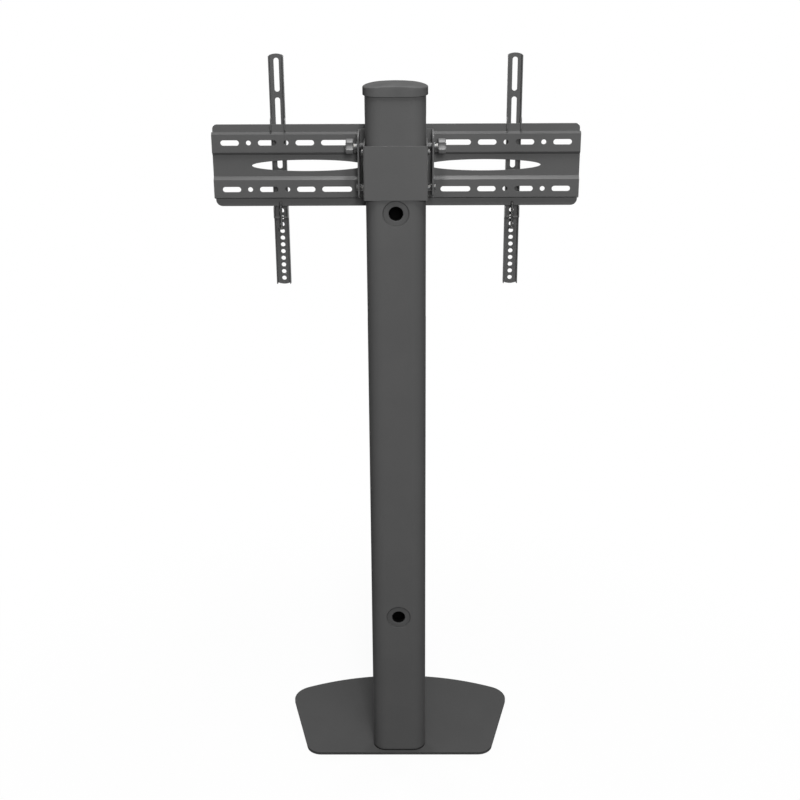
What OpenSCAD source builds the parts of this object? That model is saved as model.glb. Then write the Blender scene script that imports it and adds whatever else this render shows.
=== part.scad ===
// Floor stand for a flat television. A flat-oval column on a splayed base plate carries a
// sliding collar, a tilting head with a ribbed cross plate, and two hooked arms.
// Lengths are in millimetres and angles in degrees. X runs across the stand, Y towards the
// television and Z up. The origin lies on the floor under the axis of the column.
// Left and right are as seen from behind the stand.

/* [Base] */
// Width of the base plate along its rear edge, before its corners are rounded
base_rear_w = 376; // [300:1:430]
// Depth of the base plate, from its rear edge to the middle of its front arc
base_d = 283; // [240:1:340]
// Angle by which each side of the base plate splays outwards
base_splay = 13.35; // [5:0.05:18]
// Radius of the arc along the front of the base plate
base_front_r = 488; // [400:1:700]
// Radius of the shoulders between the sides and the front arc
base_shoulder_r = 47; // [20:1:60]
// Radius of the rear corners
base_rear_r = 31; // [10:1:45]
// Thickness of the base plate
base_t = 6; // [5:0.5:12]
// Distance that the base plate reaches behind the column
base_behind = 7.1; // [2:0.1:40]
// Diameter of the floor pads
pad_d = 30; // [18:1:40]
// Thickness of the floor pads
pad_t = 1.5; // [1:0.1:4]

/* [Column] */
// Width of the flat-oval tube
column_w = 108; // [96:1:120]
// Depth of the flat-oval tube
column_d = 54; // [48:1:60]
// Wall of the tube
column_wall = 2; // [1.5:0.1:2.5]
// Length of the tube
column_h = 1373; // [1100:0.5:1700]
// Distance from the top of the tube down to the upper cable hole
upper_cable_drop = 219.2; // [219:0.1:600]
// Height of the lower cable hole above the floor
lower_cable_z = 329.4; // [120:0.1:600]
// Radius of the bore through a cable grommet
cable_bore_r = 12.5; // [8:0.1:16]
// Radius of the cable hole in the tube
cable_hole_r = 22.4; // [20:0.1:24]

/* [Top cap] */
// Distance that the cap stands out beyond the tube
cap_overhang = 3.3; // [2:0.1:6]
// Height of the cap's skirt round the tube
cap_skirt_h = 11.9; // [6:0.1:25]
// Height of the middle of the cap above the tube
cap_rise = 7.3; // [7:0.1:20]
// Radius of the crown across the cap
cap_crown_r = 360; // [340:1:800]
// Radius of the cap's rounded rim
cap_rim_r = 2.5; // [1:0.1:2.8]

/* [Height collar] */
// Distance from the top of the tube down to the collar's lower edge
collar_below_top = 194.1; // [152:0.1:198]
// Height of the collar
collar_h = 97; // [94:0.1:110]
// Thickness of the collar's sheet
collar_sheet = 2.5; // [2:0.1:3]
// Outer radius of the collar's folded corners
collar_bend_r = 3.5; // [3.2:0.1:6]
// Running clearance between the collar and the column
collar_gap = 0.3; // [0.2:0.05:0.5]
// Distance that the collar can slide down
collar_drop = 240; // [0:1:300]
// Distance that the collar can slide up
collar_lift = 60; // [0:1:70]
// Distance between the two clamp bolts of a side
clamp_pitch = 64; // [50:0.5:70]
// Radius of the clamp bolts
clamp_bolt_r = 3; // [2.5:0.1:3.2]

/* [Tilt head] */
// Distance of the tilt axis in front of the column
pivot_reach = 12; // [11.8:0.1:16]
// Height of the tilt axis above the collar's lower edge
pivot_rise = 8.1; // [7:0.1:12]
// Radius of the pivot bolts
pivot_bolt_r = 4; // [3:0.1:4.5]
// Distance from the pivot bolts up to the tilt studs
stud_swing_r = 74.5; // [60:0.5:78]
// Radius of the tilt studs
stud_r = 3; // [2.5:0.1:4]
// Angle by which the head tilts back
tilt_back = 5; // [0:0.5:5]
// Angle by which the head tilts forward
tilt_forward = 12; // [0:0.5:12]
// Thickness of the tilt bracket's sheet
bracket_sheet = 3; // [2:0.1:4]
// Width of the gap between the collar and an ear of the bracket
ear_gap = 8.4; // [6:0.1:12]
// Distance that the ears reach behind the tilt axis
ear_reach = 27; // [25:0.1:30]
// Distance from the tilt axis forward to the cross plate
head_reach = 26; // [25.5:0.1:32]

/* [Knobs] */
// Radius of a tilt knob over its lobes
knob_r = 14.8; // [13:0.1:15]
// Width of a tilt knob along its stud
knob_w = 13; // [11:0.1:18]
// Radius of the knob in its valleys
knob_valley_r = 11; // [9:0.1:12]
// Number of lobes on a knob
knob_lobes = 4; // [3:1:6]
// Distance from an ear out to its knob
knob_stand_off = 9.3; // [7:0.1:14]

/* [Cross plate] */
// Width of the cross plate
plate_w = 669; // [668:1:760]
// Height of the cross plate
plate_h = 151; // [146:0.5:170]
// Thickness of the cross plate's sheet
plate_sheet = 2; // [1.5:0.1:2.5]
// Height of the middle of the cross plate above the tilt axis
plate_rise = 32.3; // [28:0.1:40]
// Depth by which the two bands stand back towards the column
band_depth = 6; // [4:0.1:6.5]
// Distance between the middles of the two bands
band_pitch = 83.8; // [80:0.1:88]
// Height of the flat face of a band
band_face_h = 33.2; // [28:0.1:34]
// Height of the slopes between a band and the middle of the plate
slope_h = 5.5; // [4:0.1:6]
// Height of the slopes between a band and the flange at the plate's edge
outer_slope_h = 3; // [2.5:0.1:6]
// Distance between the two rows of slots
slot_row_pitch = 86; // [82:0.5:90]
// Step between a slot and the next hole in a row
slot_step = 34.1; // [31:0.1:34.5]
// Length of the short slots
slot_l = 33.6; // [26:0.1:36]
// Length of the long slot at the inner end of a row
long_slot_l = 54.6; // [40:0.1:56]
// Width of the slots
slot_w = 10; // [6:0.1:12]
// Diameter of the round holes between the slots
hole_d = 9; // [6:0.1:12]
// Length of an oval window
window_l = 206; // [150:1:210]
// Height of an oval window
window_h = 21; // [15:0.5:30]

/* [Arms] */
// Distance from the middle of the stand to an arm
arm_x = 213.3; // [120:0.1:300]
// Width of an arm
arm_w = 27; // [24:0.1:32]
// Depth of an arm's channel
arm_d = 12; // [9:0.1:16]
// Thickness of an arm's sheet
arm_sheet = 2; // [1.5:0.1:2.5]
// Height of the arms above the middle of the cross plate
arm_above = 199.2; // [190:0.1:260]
// Distance that the arms reach below the middle of the cross plate
arm_below = 229.8; // [226:0.1:300]
// Radius of an arm's arched ends
arm_end_r = 28.5; // [20:0.1:60]
// Width of the slots in an arm
arm_slot_w = 9.2; // [6:0.1:12]
// Length of the upper slot
arm_upper_slot_l = 60.3; // [40:0.1:64]
// Length of the lower slot
arm_lower_slot_l = 129.7; // [100:0.1:134]
// Diameter of the round holes in an arm
arm_hole_d = 8.3; // [5:0.1:10]
// Distance between two round holes
arm_hole_pitch = 13.08; // [11.5:0.01:13.3]
// Number of round holes in an arm
arm_hole_count = 16; // [8:1:16]

/* [Hidden] */

// Facets of a full circle, and of the long shallow arcs
$fn = 64;
arc_fn = 360;
// Facets of the balls that round the cap's rim
rim_fn = 24;

// Overrun of every cut past the face that it opens
over = 1;
// Radial clearance of a bolt in its thread or of a pin that turns
running_gap = 0.05;
// Radial clearance of a bolt in a plain hole
bolt_gap = 0.3;
// Clearance between two flat faces that slide on each other
slide_gap = 0.1;

// Colours of the powder coat, the plastics and the plated fasteners
powder_coat = [0.34, 0.34, 0.345];
dark_plastic = [0.27, 0.27, 0.275];
black_rubber = [0.12, 0.12, 0.12];
plated_steel = [0.58, 0.58, 0.59];

// Base: heights of the plate and the rear edge, and the sides as a start and a direction
base_z = pad_t;
base_top = base_z + base_t;
base_rear_y = -column_d / 2 - base_behind;
base_front_y = base_rear_y + base_d;
base_side_start = [base_rear_w / 2, base_rear_y];
base_side_dir = [sin(base_splay), cos(base_splay)];
base_side_in = [-cos(base_splay), sin(base_splay)];
base_arc_centre = [0, base_front_y - base_front_r];
// Distance along a side to the middle of its rear corner's arc
base_rear_run = base_rear_r * (1 - base_side_in[1]) / base_side_dir[1];
base_rear_centre = base_side_start + base_rear_r * base_side_in + base_rear_run * base_side_dir;
// Middle of the shoulder arc, which touches the side and the front arc from inside
shoulder_start = base_side_start + base_shoulder_r * base_side_in - base_arc_centre;
shoulder_reach = base_front_r - base_shoulder_r;
shoulder_half = shoulder_start * base_side_dir;
shoulder_run = -shoulder_half
    + sqrt(pow(shoulder_half, 2) - shoulder_start * shoulder_start + pow(shoulder_reach, 2));
base_shoulder_centre = base_arc_centre + shoulder_start + shoulder_run * base_side_dir;
base_arc_end = base_arc_centre
    + (base_shoulder_centre - base_arc_centre) * base_front_r / shoulder_reach;
// Distance of the front pad from the front edge
pad_inset = 32;
pad_places = [
    [0, 0],
    [0, base_front_y - pad_inset],
    base_rear_centre,
    base_shoulder_centre,
    [-base_rear_centre[0], base_rear_centre[1]],
    [-base_shoulder_centre[0], base_shoulder_centre[1]]
];

// Countersunk screws from below into the foot of the column
foot_h = 12;
foot_gap = 0.15;
screw_r = 4;
screw_head_r = 8;
screw_head_h = 4;
screw_recess = 0.3;
screw_pitch_x = 64;
screw_pitch_y = 24;
screw_places = [
    for (x = [-screw_pitch_x / 2, screw_pitch_x / 2])
        for (y = [-screw_pitch_y / 2, screw_pitch_y / 2])
            [x, y]
];

// Column: inside of the tube, its top and the dished edges of its cable holes
column_in_w = column_w - 2 * column_wall;
column_in_d = column_d - 2 * column_wall;
column_top = base_top + column_h;
upper_cable_z = column_top - upper_cable_drop;
dish_spread = 2.1;
dish_r = cable_hole_r + dish_spread;
dish_depth = 1.3;
// Grommets: clearance in the hole, lip behind the wall, sleeve and rounded mouth
grommet_gap = 0.2;
grommet_lip_r = 24;
grommet_lip_t = 1.6;
grommet_sleeve_wall = 2;
grommet_sleeve_l = 12;
grommet_mouth_r = 2;

// Cap: clearances, the plug inside the tube and the stations along the rim
cap_gap = 0.2;
cap_plug_h = 20;
cap_plug_wall = 2;
cap_apex = column_top + cap_rise;
cap_end_r = column_d / 2 + cap_overhang;
cap_half_flat = (column_w - column_d) / 2;
cap_rim_flat_steps = 6;
cap_rim_turn = 15;

// Collar: half width inside and outside, its faces and the clamp bolts' places
collar_in_x = column_w / 2 + collar_gap;
collar_out_x = collar_in_x + collar_sheet;
collar_z = column_top - collar_below_top;
collar_top = collar_z + collar_h;
channel_rear_y = column_d / 2 + collar_gap;
channel_reach = 21.7;
lug_r = 13;
clamp_mid_z = collar_z + collar_h / 2;
clamp_z = [clamp_mid_z - clamp_pitch / 2, clamp_mid_z + clamp_pitch / 2];
clamp_slot_play = 1;
clamp_slot_w = 2 * clamp_bolt_r + clamp_slot_play;
clamp_slot_spare = 1.5;
clamp_slot_lo = clamp_z[0] - collar_drop - clamp_slot_spare - clamp_slot_w / 2;
clamp_slot_hi = clamp_z[1] + collar_lift + clamp_slot_spare + clamp_slot_w / 2;
clamp_head_r = 5.5;
clamp_head_h = 3;
clamp_washer_r = 6.4;
clamp_washer_t = 1;
// Nut plates, which slide inside the tube behind the clamp slots
nut_plate_w = 16;
nut_plate_t = 5;
nut_plate_spare = 14;
nut_plate_gap = 0.3;
nut_plate_h = clamp_pitch + 2 * nut_plate_spare;
nut_plate_out_x = (column_in_w - column_in_d) / 2
    + sqrt(pow(column_in_d / 2, 2) - pow(nut_plate_w / 2, 2)) - nut_plate_gap;
nut_plate_in_x = nut_plate_out_x - nut_plate_t;

// Tilt head: axes of the pivot bolts and the studs
pivot_y = column_d / 2 + pivot_reach;
pivot_z = collar_z + pivot_rise;
stud_z = pivot_z + stud_swing_r;
pivot_head_r = 6.5;
pivot_head_h = 3.6;
pivot_nut_r = 7.5;
pivot_nut_t = 6.5;
pivot_tip = 1.5;
socket_r = 2.9;
socket_depth = 2;
bush_wall = 3;
stud_head_r = 8;
stud_head_h = 3.5;
// Bracket: inner and outer faces of the ears, and the ears' edges above and below
ear_in_x = collar_out_x + ear_gap;
ear_out_x = ear_in_x + bracket_sheet;
ear_above = 26;
ear_below = 14;
ear_lo = pivot_z - ear_below;
ear_hi = stud_z + ear_above;
ear_rear_y = pivot_y - ear_reach;
ear_corner_r = 7;
bracket_inner_r = 1.5;
bracket_bend_r = bracket_sheet + bracket_inner_r;
plate_rear_y = pivot_y + head_reach;
tilt_slot_w = 2 * (stud_r + bolt_gap);
tilt_slot_spare = 1;
// Bolts that hold the cross plate to the bracket
bracket_bolt_r = 3;
bracket_head_r = 5.2;
bracket_head_h = 3.4;
bracket_nut_r = 5.77;
bracket_nut_t = 5;
bracket_bolt_x = 38;
bracket_bolt_rise = 36;

// Knobs: washer, threaded insert and the scallops between the lobes
tilt_washer_r = 9;
tilt_washer_t = 1.6;
insert_nose_r = 4.2;
insert_r = 5.4;
insert_ring_l = 4.5;
insert_l_in_knob = 9.5;
insert_x = ear_out_x + slide_gap + tilt_washer_t + slide_gap;
knob_x = ear_out_x + knob_stand_off;
stud_end_x = knob_x + insert_l_in_knob;
knob_scallop_half_angle_share = 25 / 90;
knob_edge_r = 2.2;
knob_dome_h = 1;
knob_turn = -10;

// Cross plate: its middle and its corners
plate_z = pivot_z + plate_rise;
plate_flange_inset = 1.9;
plate_top_r = 8;
plate_bottom_r = 12;
plate_front_y = plate_rear_y + band_depth + plate_sheet;
// Rows: distance from the outermost short slot to the end of the plate
row_margin = 32.9;
row_end_x = plate_w / 2 - row_margin;
row_steps = 4;
row_start_x = row_end_x - row_steps * slot_step;
long_slot_gap = 12.7;
long_slot_x = row_start_x - slot_l / 2 - long_slot_gap - long_slot_l / 2;
window_margin = 71;
window_x = plate_w / 2 - window_margin - window_l / 2;

// Arms: their faces, the hook over the plate's upper edge and the tab under its lower edge
arm_gap = 0.3;
arm_rear_y = plate_front_y + arm_gap;
arm_front_y = arm_rear_y + arm_d;
arm_inner_r = 1;
arm_bend_r = arm_sheet + arm_inner_r;
arm_lo = plate_z - arm_below;
arm_hi = plate_z + arm_above;
arm_end_sag = arm_end_r - sqrt(pow(arm_end_r, 2) - pow(arm_w / 2, 2));
arm_top_margin = 7.2;
arm_slot_gap = 10.2;
arm_bottom_margin = 11.6;
hook_gap = 0.4;
hook_h = 11.2;
hook_tip_l = 11.3;
hook_tip_t = 6.5;
hook_corner_r = 3;
flange_rear_y = plate_rear_y + band_depth;
hook_rear_y = flange_rear_y - hook_gap - hook_tip_t;
hook_lo = plate_z + plate_h / 2 - hook_tip_l;
hook_hi = plate_z + plate_h / 2 + hook_gap + hook_h;
tab_h = 22;
tab_hi = plate_z - plate_h / 2 - hook_gap;
tab_lo = tab_hi - tab_h;
// Lock screws, which stand behind the plate's lower flange
lock_screw_r = 2.5;
lock_screw_clear = 0.9;
lock_screw_rise = 8.2;
lock_screw_drop = 16.8;
lock_head_r = 4.75;
lock_head_h = 4;
lock_screw_y = flange_rear_y - lock_screw_clear - lock_screw_r;

// Flat oval, or a slot with round ends, along X
module flat_oval(length, width) {
    square([length - width, width], center = true);
    for (side = [-1, 1])
        translate([side * (length - width) / 2, 0])
            circle(d = width);
}

// Trough with rounded lower corners, open at depth
module trough(w, depth, r) {
    translate([-w / 2, r])
        square([w, depth - r]);
    translate([r - w / 2, 0])
        square([w - 2 * r, r]);
    for (side = [-1, 1])
        translate([side * (w / 2 - r), r])
            circle(r = r);
}

// Section of a folded channel: its web lies on the X axis and its flanges reach up to depth
module channel_section(w, depth, sheet, bend_r) {
    difference() {
        trough(w, depth, bend_r);
        translate([0, sheet])
            trough(w - 2 * sheet, depth, bend_r - sheet);
    }
}

// Rectangle from a low to a high corner, with all four corners rounded
module rounded_box(low, high, r) {
    translate([low[0] + r, low[1]])
        square([high[0] - low[0] - 2 * r, high[1] - low[1]]);
    translate([low[0], low[1] + r])
        square([high[0] - low[0], high[1] - low[1] - 2 * r]);
    for (x = [low[0] + r, high[0] - r])
        for (y = [low[1] + r, high[1] - r])
            translate([x, y])
                circle(r = r);
}

// Extrudes an outline drawn in X and Z from y0 to y1
module extrude_y(y0, y1) {
    translate([0, y1, 0])
        rotate([90, 0, 0])
            linear_extrude(height = y1 - y0)
                children();
}

// Extrudes an outline drawn in Y and Z from x0 to x1
module extrude_x(x0, x1) {
    translate([x0, 0, 0])
        rotate([90, 0, 90])
            linear_extrude(height = x1 - x0)
                children();
}

// Extrudes an outline drawn in X and Y from z0 to z1
module extrude_z(z0, z1) {
    translate([0, 0, z0])
        linear_extrude(height = z1 - z0)
            children();
}

// Rod along X at a given Y and Z
module rod_x(x0, x1, y, z, r) {
    translate([x0, y, z])
        rotate([0, 90, 0])
            cylinder(h = x1 - x0, r = r);
}

// Rod along Y at a given X and Z
module rod_y(y0, y1, x, z, r) {
    translate([x, y1, z])
        rotate([90, 0, 0])
            cylinder(h = y1 - y0, r = r);
}

// The children on the right and their mirror image on the left
module on_both_sides() {
    children();
    mirror([1, 0, 0])
        children();
}

// The children as they are for the right, or mirrored for the left
module on_side(side) {
    if (side > 0)
        children();
    else
        mirror([1, 0, 0])
            children();
}

// Outline of the base plate: straight sides and rear edge, tangent arcs and a front arc
module base_outline() {
    rear_c = base_rear_centre;
    side_from = rear_c - base_rear_r * base_side_in;
    side_to = base_shoulder_centre - base_shoulder_r * base_side_in;
    right = [[rear_c[0], base_rear_y], side_from, side_to, base_arc_end];
    left = [for (i = [len(right) - 1 : -1 : 0]) [-right[i][0], right[i][1]]];
    polygon(concat(right, left));
    intersection() {
        translate(base_arc_centre)
            circle(r = base_front_r, $fn = arc_fn);
        translate([-base_arc_end[0], base_arc_end[1]])
            square([2 * base_arc_end[0], base_d]);
    }
    for (side = [-1, 1]) {
        translate([side * rear_c[0], rear_c[1]])
            circle(r = base_rear_r);
        translate([side * base_shoulder_centre[0], base_shoulder_centre[1]])
            circle(r = base_shoulder_r);
    }
}

module base_plate() {
    color(powder_coat)
        difference() {
            extrude_z(base_z, base_top)
                base_outline();
            for (place = screw_places)
                translate(concat(place, base_z))
                    countersunk(screw_head_r + foot_gap, screw_r + foot_gap);
        }
}

// Cut for a countersunk screw from below the base plate: a rim, a cone and a shank hole
module countersunk(head_r, shank_r) {
    translate([0, 0, -over])
        cylinder(h = screw_recess + over, r = head_r);
    translate([0, 0, screw_recess])
        cylinder(h = screw_head_h, r1 = head_r, r2 = shank_r);
    cylinder(h = base_t + over, r = shank_r);
}

module base_pads() {
    color(black_rubber)
        for (place = pad_places)
            translate(place)
                cylinder(h = pad_t, d = pad_d);
}

module base_screws() {
    color(plated_steel)
        for (place = screw_places)
            translate(concat(place, base_z + screw_recess))
                difference() {
                    union() {
                        cylinder(h = screw_head_h, r1 = screw_head_r, r2 = screw_r);
                        cylinder(h = base_t + foot_h - screw_recess, r = screw_r);
                    }
                    translate([0, 0, -over])
                        cylinder(h = socket_depth + over, r = socket_r, $fn = 6);
                }
}

module column_foot() {
    color(plated_steel)
        difference() {
            extrude_z(base_top, base_top + foot_h)
                flat_oval(column_in_w - 2 * foot_gap, column_in_d - 2 * foot_gap);
            for (place = screw_places)
                translate(concat(place, base_top - over))
                    cylinder(h = foot_h + 2 * over, r = screw_r + running_gap);
        }
}

module column_tube() {
    color(powder_coat)
        difference() {
            extrude_z(base_top, column_top)
                difference() {
                    flat_oval(column_w, column_d);
                    flat_oval(column_in_w, column_in_d);
                }
            extrude_x(-column_w / 2 - over, column_w / 2 + over)
                translate([0, (clamp_slot_lo + clamp_slot_hi) / 2])
                    rotate(90)
                        flat_oval(clamp_slot_hi - clamp_slot_lo, clamp_slot_w);
            for (z = [upper_cable_z, lower_cable_z])
                translate([0, -column_d / 2, z])
                    rotate([90, 0, 0])
                        cable_hole_cut();
        }
}

// Cable hole in the rear wall, whose outer face lies at zero: a dished edge and a round hole
module cable_hole_cut() {
    translate([0, 0, -column_wall - over])
        cylinder(h = column_wall + 2 * over, r = cable_hole_r);
    translate([0, 0, -dish_depth])
        cylinder(h = dish_depth, r1 = cable_hole_r, r2 = dish_r);
}

// Grommet set flush in the dished hole: a face ring, a lip behind the wall and a sleeve
module cable_grommet(z) {
    ring_r = cable_hole_r - grommet_gap;
    lip_z = -column_wall - running_gap;
    sleeve_r = cable_bore_r + grommet_sleeve_wall;
    mouth_c = [cable_bore_r + grommet_mouth_r, -dish_depth - grommet_mouth_r];
    mouth = [for (turn = [0 : 15 : 90]) mouth_c + grommet_mouth_r * [-cos(turn), sin(turn)]];
    rest = [
        [ring_r, -dish_depth],
        [ring_r, lip_z],
        [grommet_lip_r, lip_z],
        [grommet_lip_r, lip_z - grommet_lip_t],
        [sleeve_r, lip_z - grommet_lip_t],
        [sleeve_r, -grommet_sleeve_l],
        [cable_bore_r, -grommet_sleeve_l]
    ];
    color(dark_plastic)
        translate([0, -column_d / 2, z])
            rotate([90, 0, 0])
                rotate_extrude()
                    polygon(concat(mouth, rest));
}

module upper_grommet() {
    cable_grommet(upper_cable_z);
}

module lower_grommet() {
    cable_grommet(lower_cable_z);
}

// Height of the cap's crown at a distance from the middle
function crown_z(x) = cap_apex - cap_crown_r + sqrt(pow(cap_crown_r, 2) - pow(x, 2));

// One ball of the rounded rim, inside the rim's edge at a given place
module rim_ball(x, y) {
    edge_x = abs(x) + cap_rim_r;
    translate([x, y, crown_z(edge_x) - cap_rim_r])
        sphere(r = cap_rim_r, $fn = rim_fn);
}

// Outside of the cap: a flat-oval skirt under a rounded rim and a crown
module cap_shell() {
    ball_r = cap_end_r - cap_rim_r;
    hull() {
        extrude_z(column_top - cap_skirt_h, column_top - cap_skirt_h / 2)
            flat_oval(column_w + 2 * cap_overhang, column_d + 2 * cap_overhang, $fn = 2 * rim_fn);
        for (side = [-1, 1]) {
            for (turn = [-90 : cap_rim_turn : 90])
                rim_ball(side * (cap_half_flat + ball_r * cos(turn)), ball_r * sin(turn));
            for (i = [1 : cap_rim_flat_steps - 1])
                rim_ball(cap_half_flat * (2 * i / cap_rim_flat_steps - 1), side * ball_r);
        }
    }
}

module top_cap() {
    plug_w = column_in_w - 2 * cap_gap;
    plug_d = column_in_d - 2 * cap_gap;
    color(dark_plastic) {
        difference() {
            cap_shell();
            extrude_z(column_top - cap_skirt_h - over, column_top)
                flat_oval(column_w + 2 * cap_gap, column_d + 2 * cap_gap);
        }
        extrude_z(column_top - cap_plug_h, column_top + over)
            difference() {
                flat_oval(plug_w, plug_d);
                flat_oval(plug_w - 2 * cap_plug_wall, plug_d - 2 * cap_plug_wall);
            }
    }
}

// Bores for the pivot bolts and the tilt studs, through both sides
module tilt_bores() {
    reach = collar_out_x + over;
    rod_x(-reach, reach, pivot_y, pivot_z, pivot_bolt_r + running_gap);
    rod_x(-reach, reach, pivot_y, stud_z, stud_r + running_gap);
}

// Side of the collar: a sheet whose front swells into a lug round each bolt
module collar_side() {
    translate([-channel_rear_y - collar_sheet, collar_z])
        square([pivot_y + channel_rear_y + collar_sheet, collar_h]);
    translate([pivot_y, pivot_z])
        square([lug_r, stud_z - pivot_z]);
    for (z = [pivot_z, stud_z])
        translate([pivot_y, z])
            circle(r = lug_r);
}

module collar() {
    color(powder_coat)
        difference() {
            intersection() {
                extrude_z(pivot_z - lug_r, collar_top)
                    translate([0, -channel_rear_y - collar_sheet])
                        channel_section(2 * collar_out_x, pivot_y + 2 * lug_r + channel_rear_y,
                            collar_sheet, collar_bend_r);
                extrude_x(-collar_out_x - over, collar_out_x + over)
                    collar_side();
            }
            tilt_bores();
            for (z = clamp_z)
                rod_x(-collar_out_x - over, collar_out_x + over, 0, z, clamp_bolt_r + bolt_gap);
        }
}

module front_channel() {
    color(powder_coat)
        difference() {
            extrude_z(collar_z, collar_top)
                translate([0, channel_rear_y])
                    channel_section(2 * collar_in_x, channel_reach, collar_sheet, collar_bend_r);
            tilt_bores();
        }
}

// Tapped plate inside the tube, on one side
module nut_plate(side) {
    color(plated_steel)
        on_side(side)
            difference() {
                translate([nut_plate_in_x, -nut_plate_w / 2, clamp_mid_z - nut_plate_h / 2])
                    cube([nut_plate_t, nut_plate_w, nut_plate_h]);
                for (z = clamp_z)
                    rod_x(nut_plate_in_x - over, nut_plate_out_x + over, 0, z,
                        clamp_bolt_r + running_gap);
            }
}

module left_nut_plate() {
    nut_plate(-1);
}

module right_nut_plate() {
    nut_plate(1);
}

// Bolt along X whose head has a hexagon socket: shank from x0 to x1 and the head beyond x1
module socket_bolt_x(x0, x1, y, z, shank_r, head_r, head_h) {
    difference() {
        union() {
            rod_x(x0, x1 + head_h / 2, y, z, shank_r);
            rod_x(x1, x1 + head_h, y, z, head_r);
        }
        translate([x1 + head_h - socket_depth, y, z])
            rotate([0, 90, 0])
                cylinder(h = socket_depth + over, r = socket_r, $fn = 6);
    }
}

module clamp_bolts() {
    color(plated_steel)
        on_both_sides()
            for (z = clamp_z)
                socket_bolt_x(nut_plate_in_x, collar_out_x + clamp_washer_t, 0, z,
                    clamp_bolt_r, clamp_head_r, clamp_head_h);
}

// Washer along X from x0 to x1
module washer_x(x0, x1, y, z, outer_r, inner_r) {
    difference() {
        rod_x(x0, x1, y, z, outer_r);
        rod_x(x0 - over, x1 + over, y, z, inner_r);
    }
}

module clamp_washers() {
    color(plated_steel)
        on_both_sides()
            for (z = clamp_z)
                washer_x(collar_out_x, collar_out_x + clamp_washer_t, 0, z,
                    clamp_washer_r, clamp_bolt_r + bolt_gap);
}

module pivot_bolts() {
    nut_in_x = collar_in_x - collar_sheet - pivot_nut_t;
    color(plated_steel)
        on_both_sides()
            socket_bolt_x(nut_in_x - pivot_tip, ear_out_x + slide_gap, pivot_y, pivot_z,
                pivot_bolt_r, pivot_head_r, pivot_head_h);
}

module pivot_nuts() {
    nut_out_x = collar_in_x - collar_sheet;
    color(plated_steel)
        on_both_sides()
            difference() {
                translate([nut_out_x - pivot_nut_t, pivot_y, pivot_z])
                    rotate([0, 90, 0])
                        cylinder(h = pivot_nut_t, r = pivot_nut_r, $fn = 6);
                rod_x(nut_out_x - pivot_nut_t - over, nut_out_x + over, pivot_y, pivot_z,
                    pivot_bolt_r + running_gap);
            }
}

module spacer_bushes() {
    bush_r = pivot_bolt_r + bush_wall;
    end_x = ear_in_x - slide_gap;
    color(black_rubber)
        on_both_sides() {
            washer_x(collar_out_x, end_x, pivot_y, pivot_z, bush_r, pivot_bolt_r + running_gap);
            washer_x(collar_out_x, end_x, pivot_y, stud_z, bush_r, stud_r + running_gap);
        }
}

// Studs with domed heads inside the front channel
module tilt_studs() {
    head_x = collar_in_x - collar_sheet;
    dome_r = (pow(stud_head_r, 2) + pow(stud_head_h, 2)) / (2 * stud_head_h);
    color(plated_steel)
        on_both_sides() {
            rod_x(head_x - stud_head_h / 2, stud_end_x, pivot_y, stud_z, stud_r);
            intersection() {
                translate([head_x - stud_head_h + dome_r, pivot_y, stud_z])
                    sphere(r = dome_r);
                rod_x(head_x - stud_head_h - over, head_x, pivot_y, stud_z, stud_head_r);
            }
        }
}

module tilt_washers() {
    washer_x0 = ear_out_x + slide_gap;
    color(plated_steel)
        on_both_sides()
            washer_x(washer_x0, washer_x0 + tilt_washer_t, pivot_y, stud_z,
                tilt_washer_r, stud_r + running_gap);
}

// Threaded insert of a knob: a nose towards the ear, then a ring that runs into the knob
module knob_insert(side) {
    ring_x = knob_x - insert_ring_l;
    insert_end_x = knob_x + insert_l_in_knob;
    color(plated_steel)
        on_side(side)
            difference() {
                union() {
                    rod_x(insert_x, insert_end_x, pivot_y, stud_z, insert_nose_r);
                    rod_x(ring_x, insert_end_x, pivot_y, stud_z, insert_r);
                }
                rod_x(insert_x - over, insert_end_x + over, pivot_y, stud_z, stud_r + running_gap);
            }
}

module left_knob_insert() {
    knob_insert(-1);
}

module right_knob_insert() {
    knob_insert(1);
}

// Half section of a knob, as radius and distance from its inner face, with rounded edges
module knob_section() {
    edge = knob_edge_r;
    inner_edge = [
        for (turn = [0 : 15 : 90])
            [knob_r - edge * (1 - sin(turn)), edge * (1 - cos(turn))]
    ];
    outer_edge = [
        for (turn = [0 : 15 : 90])
            [knob_r - edge * (1 - cos(turn)), knob_w - knob_dome_h - edge * (1 - sin(turn))]
    ];
    polygon(concat([[0, 0]], inner_edge, outer_edge, [[knob_valley_r / 2, knob_w], [0, knob_w]]));
}

// Star knob with rounded lobes, bored for its insert
module tilt_knob(side) {
    lobe_turn = 360 / knob_lobes;
    half_turn = knob_scallop_half_angle_share * 90;
    chord_half = knob_r * sin(half_turn);
    sag = knob_r * cos(half_turn) - knob_valley_r;
    scallop_r = (pow(chord_half, 2) + pow(sag, 2)) / (2 * sag);
    bore_l = insert_l_in_knob + slide_gap;
    color(dark_plastic)
        on_side(side)
            translate([knob_x, pivot_y, stud_z])
                rotate([knob_turn, 0, 0])
                    rotate([90, 0, 90])
                        difference() {
                            rotate_extrude()
                                knob_section();
                            for (i = [0 : knob_lobes - 1])
                                rotate((i + 1 / 2) * lobe_turn)
                                    translate([knob_valley_r + scallop_r, 0, -over])
                                        cylinder(h = knob_w + 2 * over, r = scallop_r);
                            translate([0, 0, -over])
                                cylinder(h = bore_l + over, r = insert_r + running_gap);
                        }
}

module left_tilt_knob() {
    tilt_knob(-1);
}

module right_tilt_knob() {
    tilt_knob(1);
}

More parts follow.
